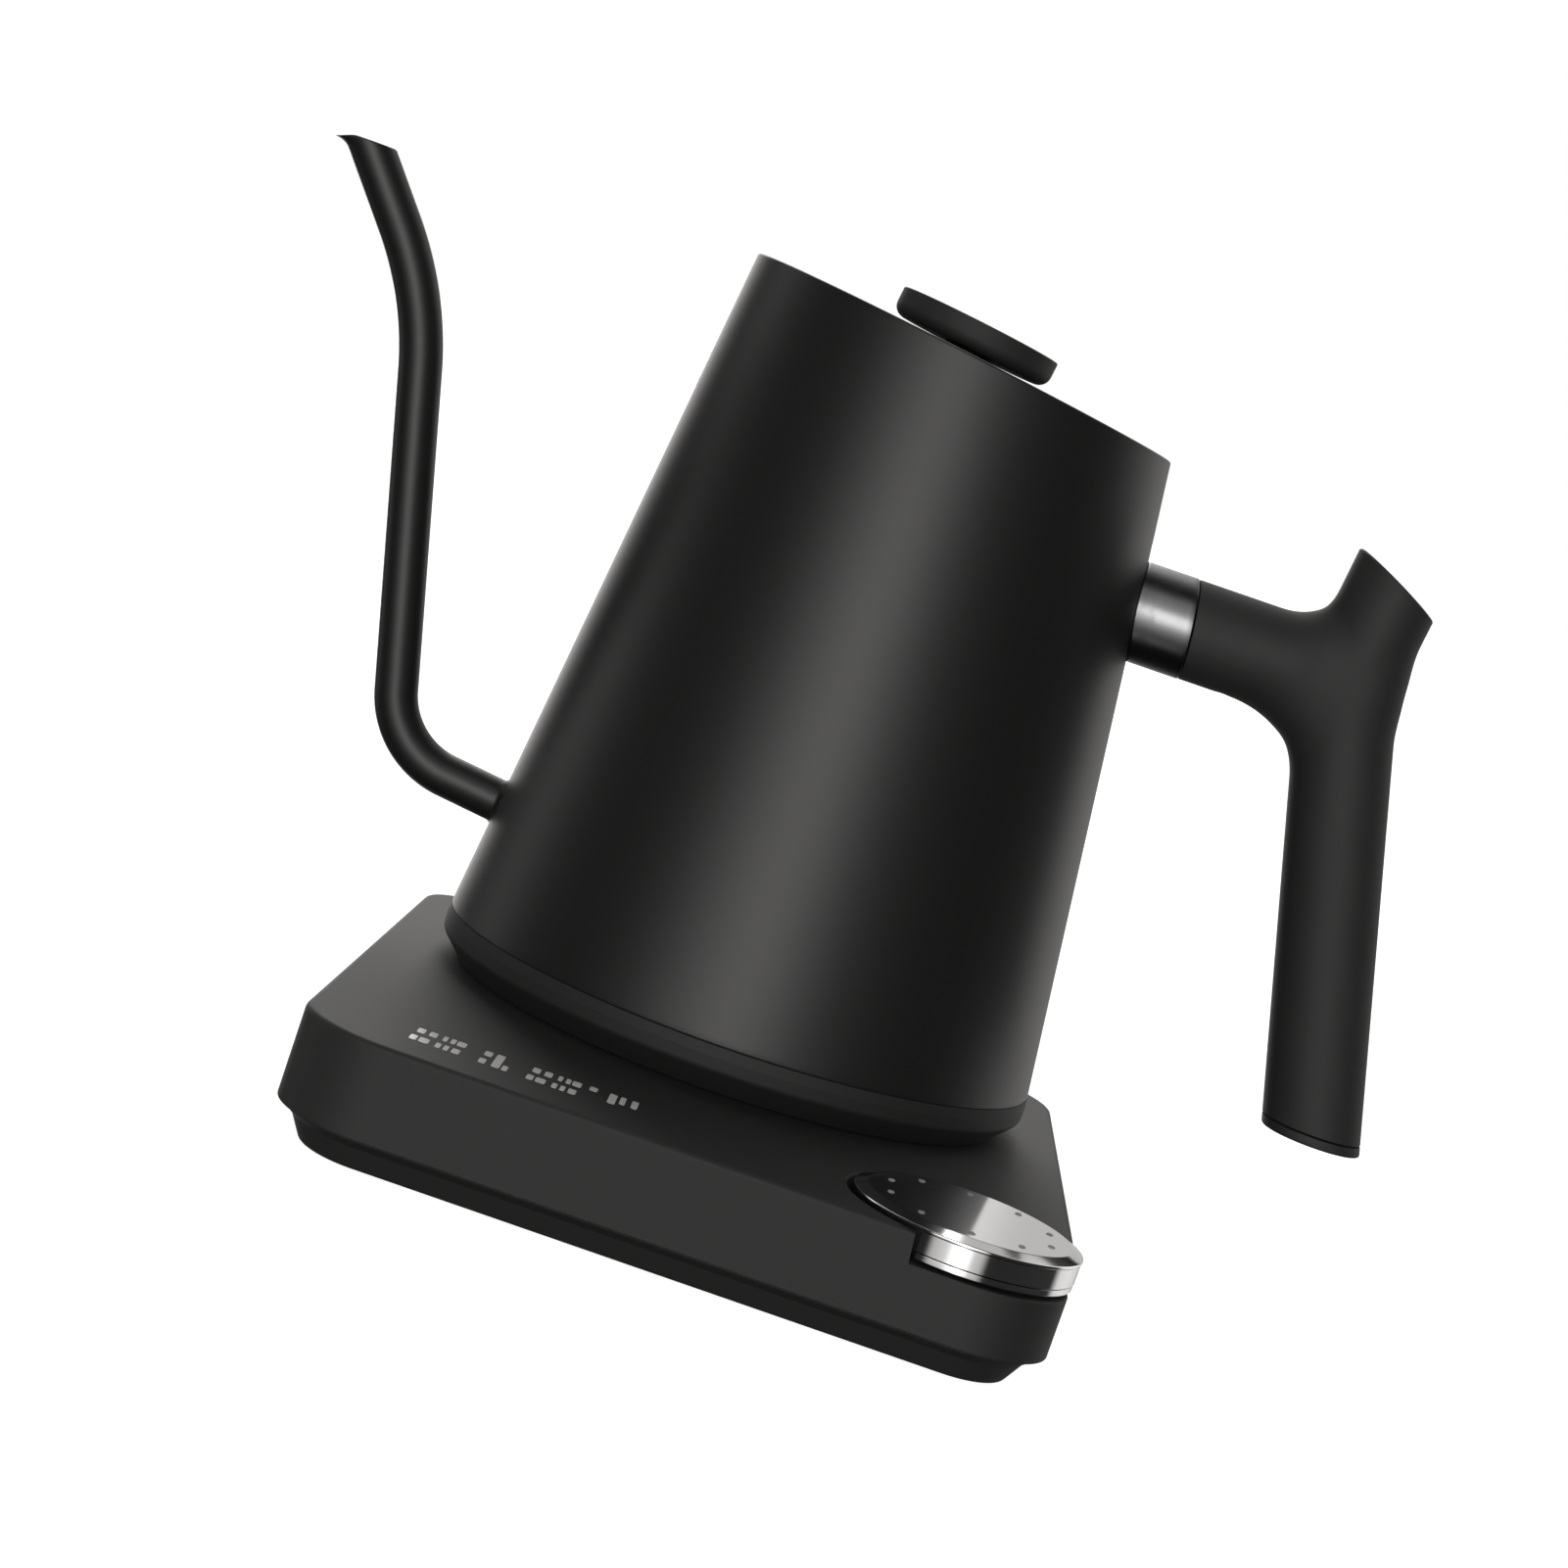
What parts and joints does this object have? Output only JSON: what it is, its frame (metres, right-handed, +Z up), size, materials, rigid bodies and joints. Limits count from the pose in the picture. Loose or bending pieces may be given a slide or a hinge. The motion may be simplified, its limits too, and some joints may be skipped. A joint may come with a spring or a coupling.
{
  "type": "electric gooseneck kettle",
  "caption": "Matte black gooseneck kettle with slanted rim, knob lid and pistol handle, standing on a powered base with a chrome corner dial.",
  "frame": {"origin": "bottom centre of the whole object's box, on the table", "axes": "+Z up, -Y the front of the base with the dial and the indicators, -X the spout, +X the handle"},
  "size_m": [0.2806, 0.1906, 0.1924],
  "materials": {
    "coated_steel": "matte black powder coat with a fine grain",
    "housing_plastic": "satin black heat-proof plastic",
    "base_plastic": "fine satin black moulded plastic",
    "grip_plastic": "soft matte black moulded plastic",
    "chrome": "polished",
    "steel": "satin stainless steel",
    "aluminium": "plain",
    "brass": "plain",
    "rubber": "matte black",
    "silicone": "translucent grey, matte",
    "circuit_board": "green solder mask",
    "indicator_white": "white diffuser",
    "white_plastic": "off-white moulded plastic"
  },
  "bodies": {
    "base": {"base_top_cover": "base_plastic", "base_bottom_cover": "base_plastic", "foot_1": "rubber", "foot_2": "rubber", "foot_3": "rubber", "foot_4": "rubber", "cover_screw_1": "steel", "cover_screw_2": "steel", "cover_screw_3": "steel", "cover_screw_4": "steel", "cord_gland": "rubber", "base_connector": "housing_plastic", "connector_pin": "brass", "power_board": "circuit_board", "main_board": "circuit_board", "encoder_board": "circuit_board", "display_board": "circuit_board", "light_guide": "indicator_white", "relay": "housing_plastic", "transformer": "white_plastic", "buzzer": "housing_plastic", "encoder_body": "steel"},
    "dial_shaft": {"encoder_shaft": "aluminium"},
    "dial": {"dial_cap": "chrome", "dial_hub": "housing_plastic", "dial_skirt": "chrome"},
    "coupler": {"kettle_coupler": "housing_plastic"},
    "kettle": {"vessel_shell": "coated_steel", "spout": "coated_steel", "bottom_housing": "housing_plastic", "vessel_floor": "steel", "housing_screw_1": "steel", "housing_screw_2": "steel", "housing_screw_3": "steel", "heat_spreader": "aluminium", "heating_element": "steel", "thermostat": "white_plastic", "temperature_probe": "steel", "probe_seal": "silicone", "handle_bracket": "steel", "handle_ferrule": "chrome", "handle_grip": "grip_plastic", "handle_end_cap": "grip_plastic", "handle_set_screw": "steel", "rim_collar": "steel"},
    "lid": {"lid_disc": "coated_steel", "lid_skirt": "housing_plastic", "lid_gasket": "silicone", "lid_knob": "grip_plastic", "knob_screw": "steel"}
  },
  "joints": [
    {"name": "kettle_lift", "type": "slide", "parent": "base", "child": "coupler", "axis": [0, 0, 1], "range_m": [0, 0.1]},
    {"name": "kettle_swivel", "type": "hinge", "parent": "coupler", "child": "kettle", "pos_m": [0.00191, 0.0255, 0.03], "axis": [0, 0, 1], "continuous": true},
    {"name": "lid_lift", "type": "slide", "parent": "kettle", "child": "lid", "axis": [0.1368, 0, 0.9906], "range_m": [0, 0.06]},
    {"name": "dial_press", "type": "slide", "parent": "base", "child": "dial_shaft", "axis": [0, 0, -1], "range_m": [0, 0.0005], "stiffness_N_per_m": 1500, "springref_m": -0.001},
    {"name": "dial_turn", "type": "hinge", "parent": "dial_shaft", "child": "dial", "pos_m": [0.0567, -0.0723, 0.024], "axis": [0, 0, 1], "continuous": true}
  ]
}
